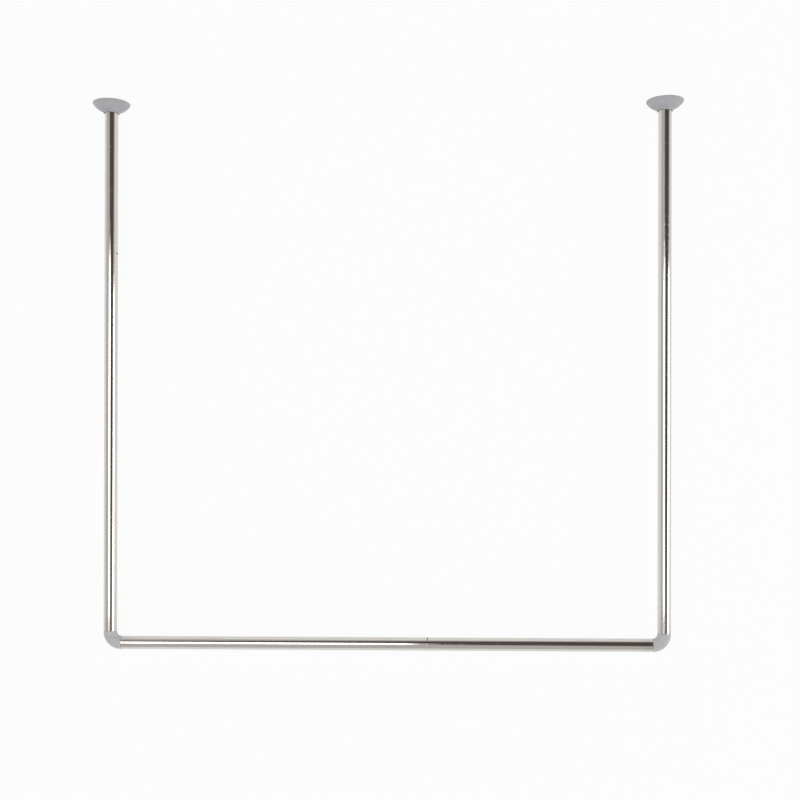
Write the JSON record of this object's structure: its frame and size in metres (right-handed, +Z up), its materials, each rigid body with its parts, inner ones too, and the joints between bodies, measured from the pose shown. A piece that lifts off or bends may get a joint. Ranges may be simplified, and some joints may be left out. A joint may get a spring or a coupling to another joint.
{
  "type": "u-shaped shower curtain rod",
  "caption": "U-shaped rod of polished metal tubes with moulded corner elbows and domed wall flanges, fixed to one wall to carry a shower curtain.",
  "frame": {"origin": "on the wall plane, midway between the centres of the two wall screw holes, at the height of the tubes' centre lines", "axes": "+X along the front tube to the right leg, +Y into the wall, +Z up: the rod hangs level, with its legs running from the wall at Y = 0 towards -Y"},
  "size_m": [0.853, 0.7915, 0.053],
  "materials": {
    "tube_metal": "polished, with fine rubbing marks",
    "elbow_plastic": "satin, light grey",
    "flange_plastic": "satin, light grey"
  },
  "bodies": {
    "root": {"left_flange": "flange_plastic", "right_flange": "flange_plastic", "left_leg_tube": "tube_metal", "right_leg_tube": "tube_metal", "front_tube": "tube_metal", "left_elbow": "elbow_plastic", "right_elbow": "elbow_plastic"}
  },
  "joints": []
}
